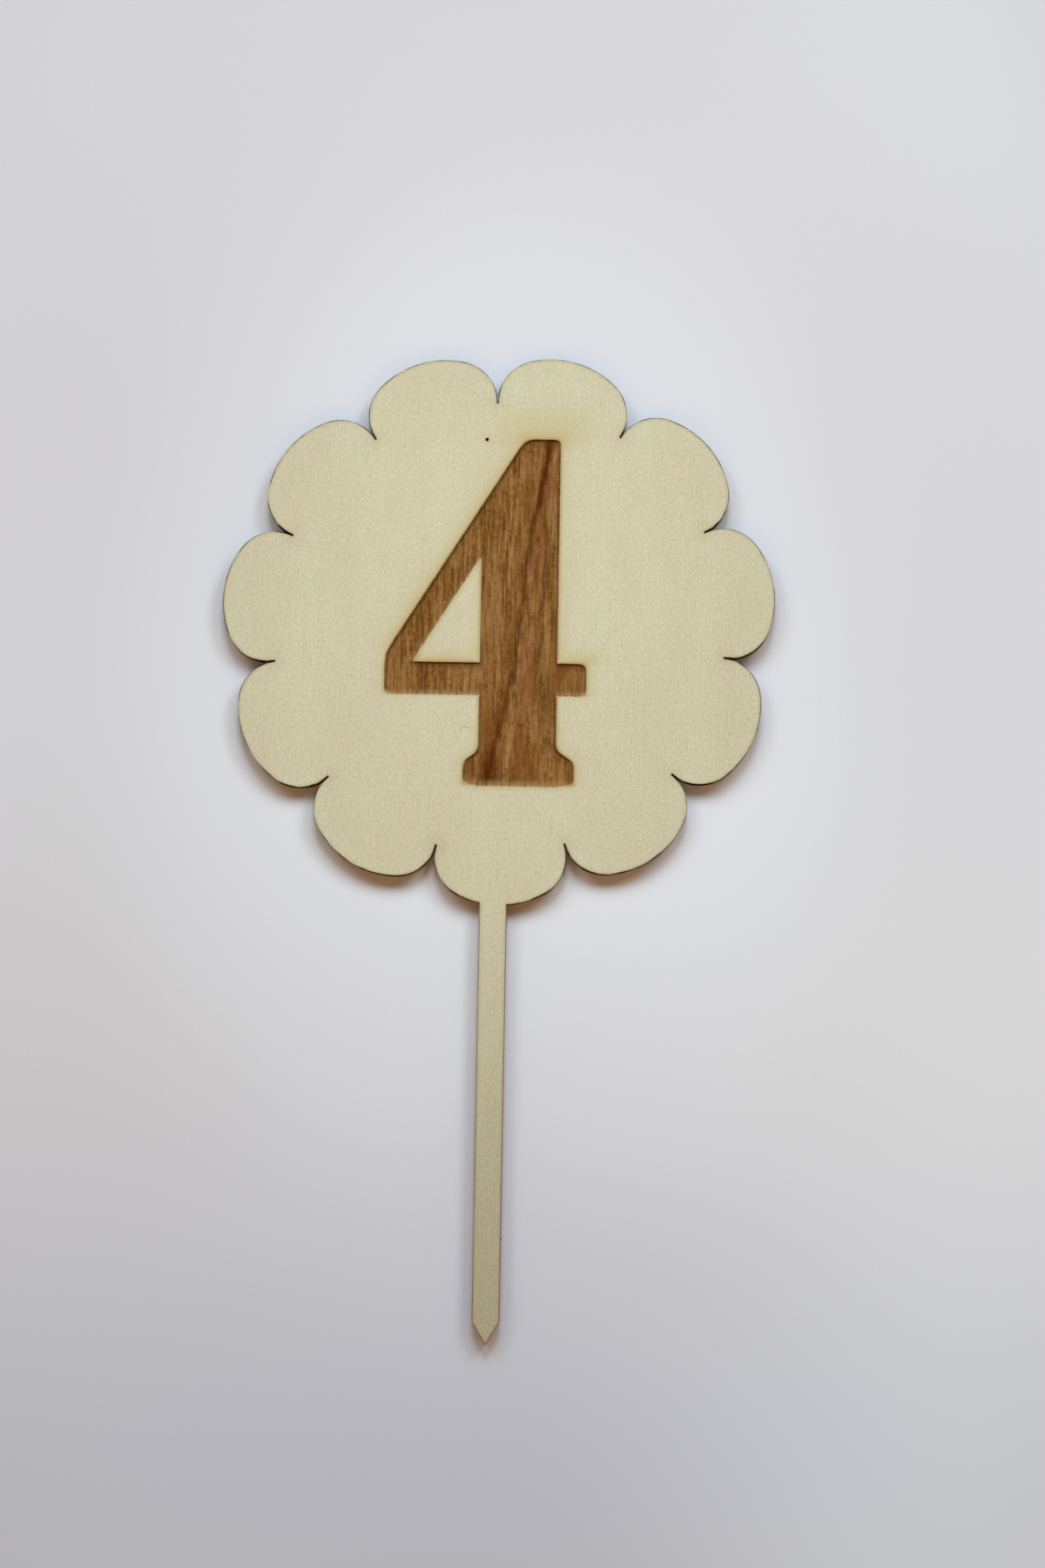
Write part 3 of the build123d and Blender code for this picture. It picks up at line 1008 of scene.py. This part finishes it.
# %% Laying a fibre
def lay_fibre(name, start, end, level, width, finish):
    """A spindle between two points, given as X and Z, on wood whose Y is level. All in mm."""
    start, end = (Vector((x, level, z)) for x, z in (start, end))
    along = end - start
    shape = bmesh.new()
    rings = [[shape.verts.new(corner * MM) for corner in ring] for ring in fibre_rings(start, along, width)]
    for near, far in zip(rings, rings[1:]):
        for side in range(FIBRE_SIDES):
            shape.faces.new((near[side - 1], near[side], far[side], far[side - 1]))
    shape.faces.new(rings[0])
    shape.faces.new(rings[-1])
    bmesh.ops.recalc_face_normals(shape, faces=shape.faces)
    mesh = bpy.data.meshes.new(name)
    shape.to_mesh(mesh)
    shape.free()
    mesh.shade_smooth()
    mesh.materials.append(finish.material)
    piece = bpy.data.objects.new(name, mesh)
    bpy.context.scene.collection.objects.link(piece)
    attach(piece, "root")
    print(name, "is", round(along.length, 2), "mm long")


print("each fibre rides on the topper's one body")

# %% Finishes of the fibres
LIFTED = seen(232, 227, 202)
LIFTED_SHADE = seen(206, 196, 164)
BROWNED = seen(218, 196, 156)
BROWNED_SHADE = seen(190, 160, 118)
SINGED = seen(86, 50, 24)
SINGED_TIP = seen(52, 32, 18)
STRAND_DEPTH = 0.02  # mm


def fibre_finish(name, first, second):
    """Wood of a single fibre, streaked with two colours."""
    finish = new_finish(name)
    strands = grain(finish.place, (3.0, 6.0, 3.0), detail=3, shift=89.0)
    put(finish, "Base Color", blend(fade(strands, 0.35, 0.65), first, second))
    put(finish, "Roughness", 0.5 + 0.3 * strands)
    lift(finish, strands, STRAND_DEPTH)
    print(name, "has", len(finish.material.node_tree.nodes), "nodes")
    return finish


lifted = fibre_finish("lifted_fibre", LIFTED, LIFTED_SHADE)
browned = fibre_finish("browned_fleck", BROWNED, BROWNED_SHADE)
singed = fibre_finish("singed_splinter", SINGED, SINGED_TIP)

# %% Lay the fibres
FACE_LEVEL = -1.5
FLOOR_LEVEL = -1.1
EDGE_LEVEL = FACE_LEVEL + 0.1  # on the pick's side, just behind the face

lay_fibre("long_fibre", (-6.54, 32.44), (-4.65, 31.77), FACE_LEVEL, 0.2, lifted)
lay_fibre("short_fibre", (-6.75, 31.75), (-5.95, 31.5), FACE_LEVEL, 0.13, lifted)
lay_fibre("bar_fleck", (-6.2, 39.1), (-5.6, 38.66), FLOOR_LEVEL, 0.16, browned)
lay_fibre("limb_fleck", (-10.05, 54.3), (-9.62, 54.62), FLOOR_LEVEL, 0.16, browned)
lay_fibre("foot_fleck", (1.87, 19.41), (2.49, 19.49), FACE_LEVEL, 0.13, lifted)
lay_fibre("side_fibre", (-37.73, 28.1), (-37.78, 26.4), FACE_LEVEL, 0.16, lifted)
lay_fibre("pick_splinter", (2.3, -58.88), (2.69, -59.44), EDGE_LEVEL, 0.17, singed)

# %% [markdown]
# ## The box
# The fibres are all that stands out from the solids, so the box round everything may be only a little larger
# than the box that was measured first.
